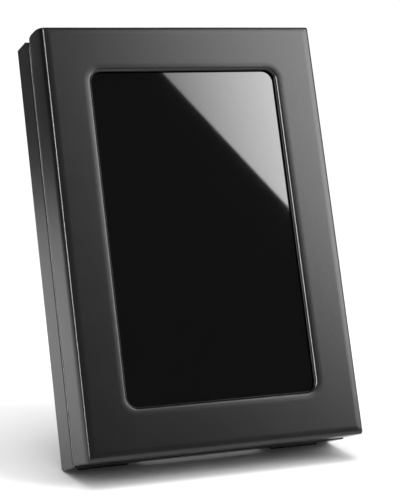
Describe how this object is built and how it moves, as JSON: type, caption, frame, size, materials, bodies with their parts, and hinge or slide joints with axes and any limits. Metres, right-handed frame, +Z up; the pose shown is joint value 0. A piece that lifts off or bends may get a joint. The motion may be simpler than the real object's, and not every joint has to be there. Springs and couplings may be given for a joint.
{
  "type": "digital photo frame",
  "caption": "Upright digital photo frame: deep black housing, recessed glossy screen, hinged rear leg that it leans back on, and sprung buttons behind.",
  "frame": {"origin": "middle of the footprint on the shelf, at the level of the rubber feet", "axes": "+Z up, the screen faces -Y and leans back towards +Y, +X to the viewer's right"},
  "size_m": [0.134, 0.1082, 0.1986],
  "materials": {
    "housing": "fine grain soft-touch black",
    "trim": "smooth black",
    "foam": "foam tape",
    "glass": "glossy black printed glass",
    "display": "unlit display",
    "light_guide": "white diffuser",
    "sheet_aluminium": "stamped",
    "steel": "zinc plated",
    "board": "solder mask",
    "chip": "moulded epoxy",
    "connector": "ivory nylon",
    "flex": "polyimide film",
    "rubber": "matt"
  },
  "bodies": {
    "housing": {"front_bezel": "housing", "lens_gasket": "foam", "cover_glass": "glass", "lcd_panel": "display", "backlight_unit": "light_guide", "panel_bracket": "sheet_aluminium", "panel_screws": "steel", "main_board": "board", "media_processor": "chip", "memory_chips": "chip", "filter_capacitors": "chip", "ribbon_connector": "connector", "display_ribbon": "flex", "card_socket": "steel", "usb_socket": "steel", "power_jack": "trim", "board_screws": "steel", "speaker_left": "chip", "speaker_right": "chip", "key_board": "board", "tact_switches": "chip", "key_board_screws": "steel", "power_switch_body": "steel", "rear_shell": "housing", "case_screws": "steel", "hinge_bracket": "steel", "bracket_screws": "steel", "hinge_pin": "steel", "friction_washers": "steel", "rubber_foot_left": "rubber", "rubber_foot_right": "rubber"},
    "stand": {"stand_leg": "housing", "stand_foot_pad": "rubber"},
    "menu_key": {"menu_button": "trim"},
    "back_key": {"back_button": "trim"},
    "left_key": {"left_button": "trim"},
    "right_key": {"right_button": "trim"},
    "select_key": {"select_button": "trim"},
    "power_knob": {"power_switch_knob": "trim"}
  },
  "joints": [
    {"name": "stand_hinge", "type": "hinge", "parent": "housing", "child": "stand", "pos_m": [0, 0.0231, 0.13391], "axis": [1, 0, 0], "range_deg": [-29.9, 0]},
    {"name": "menu_press", "type": "slide", "parent": "housing", "child": "menu_key", "axis": [0, -0.9505, 0.3107], "range_m": [0, 0.0006], "stiffness_N_per_m": 2000},
    {"name": "back_press", "type": "slide", "parent": "housing", "child": "back_key", "axis": [0, -0.9505, 0.3107], "range_m": [0, 0.0006], "stiffness_N_per_m": 2000},
    {"name": "left_press", "type": "slide", "parent": "housing", "child": "left_key", "axis": [0, -0.9505, 0.3107], "range_m": [0, 0.0006], "stiffness_N_per_m": 2000},
    {"name": "right_press", "type": "slide", "parent": "housing", "child": "right_key", "axis": [0, -0.9505, 0.3107], "range_m": [0, 0.0006], "stiffness_N_per_m": 2000},
    {"name": "select_press", "type": "slide", "parent": "housing", "child": "select_key", "axis": [0, -0.9505, 0.3107], "range_m": [0, 0.0006], "stiffness_N_per_m": 2000},
    {"name": "power_slide", "type": "slide", "parent": "housing", "child": "power_knob", "axis": [0, 0.3107, 0.9505], "range_m": [0, 0.002]}
  ]
}
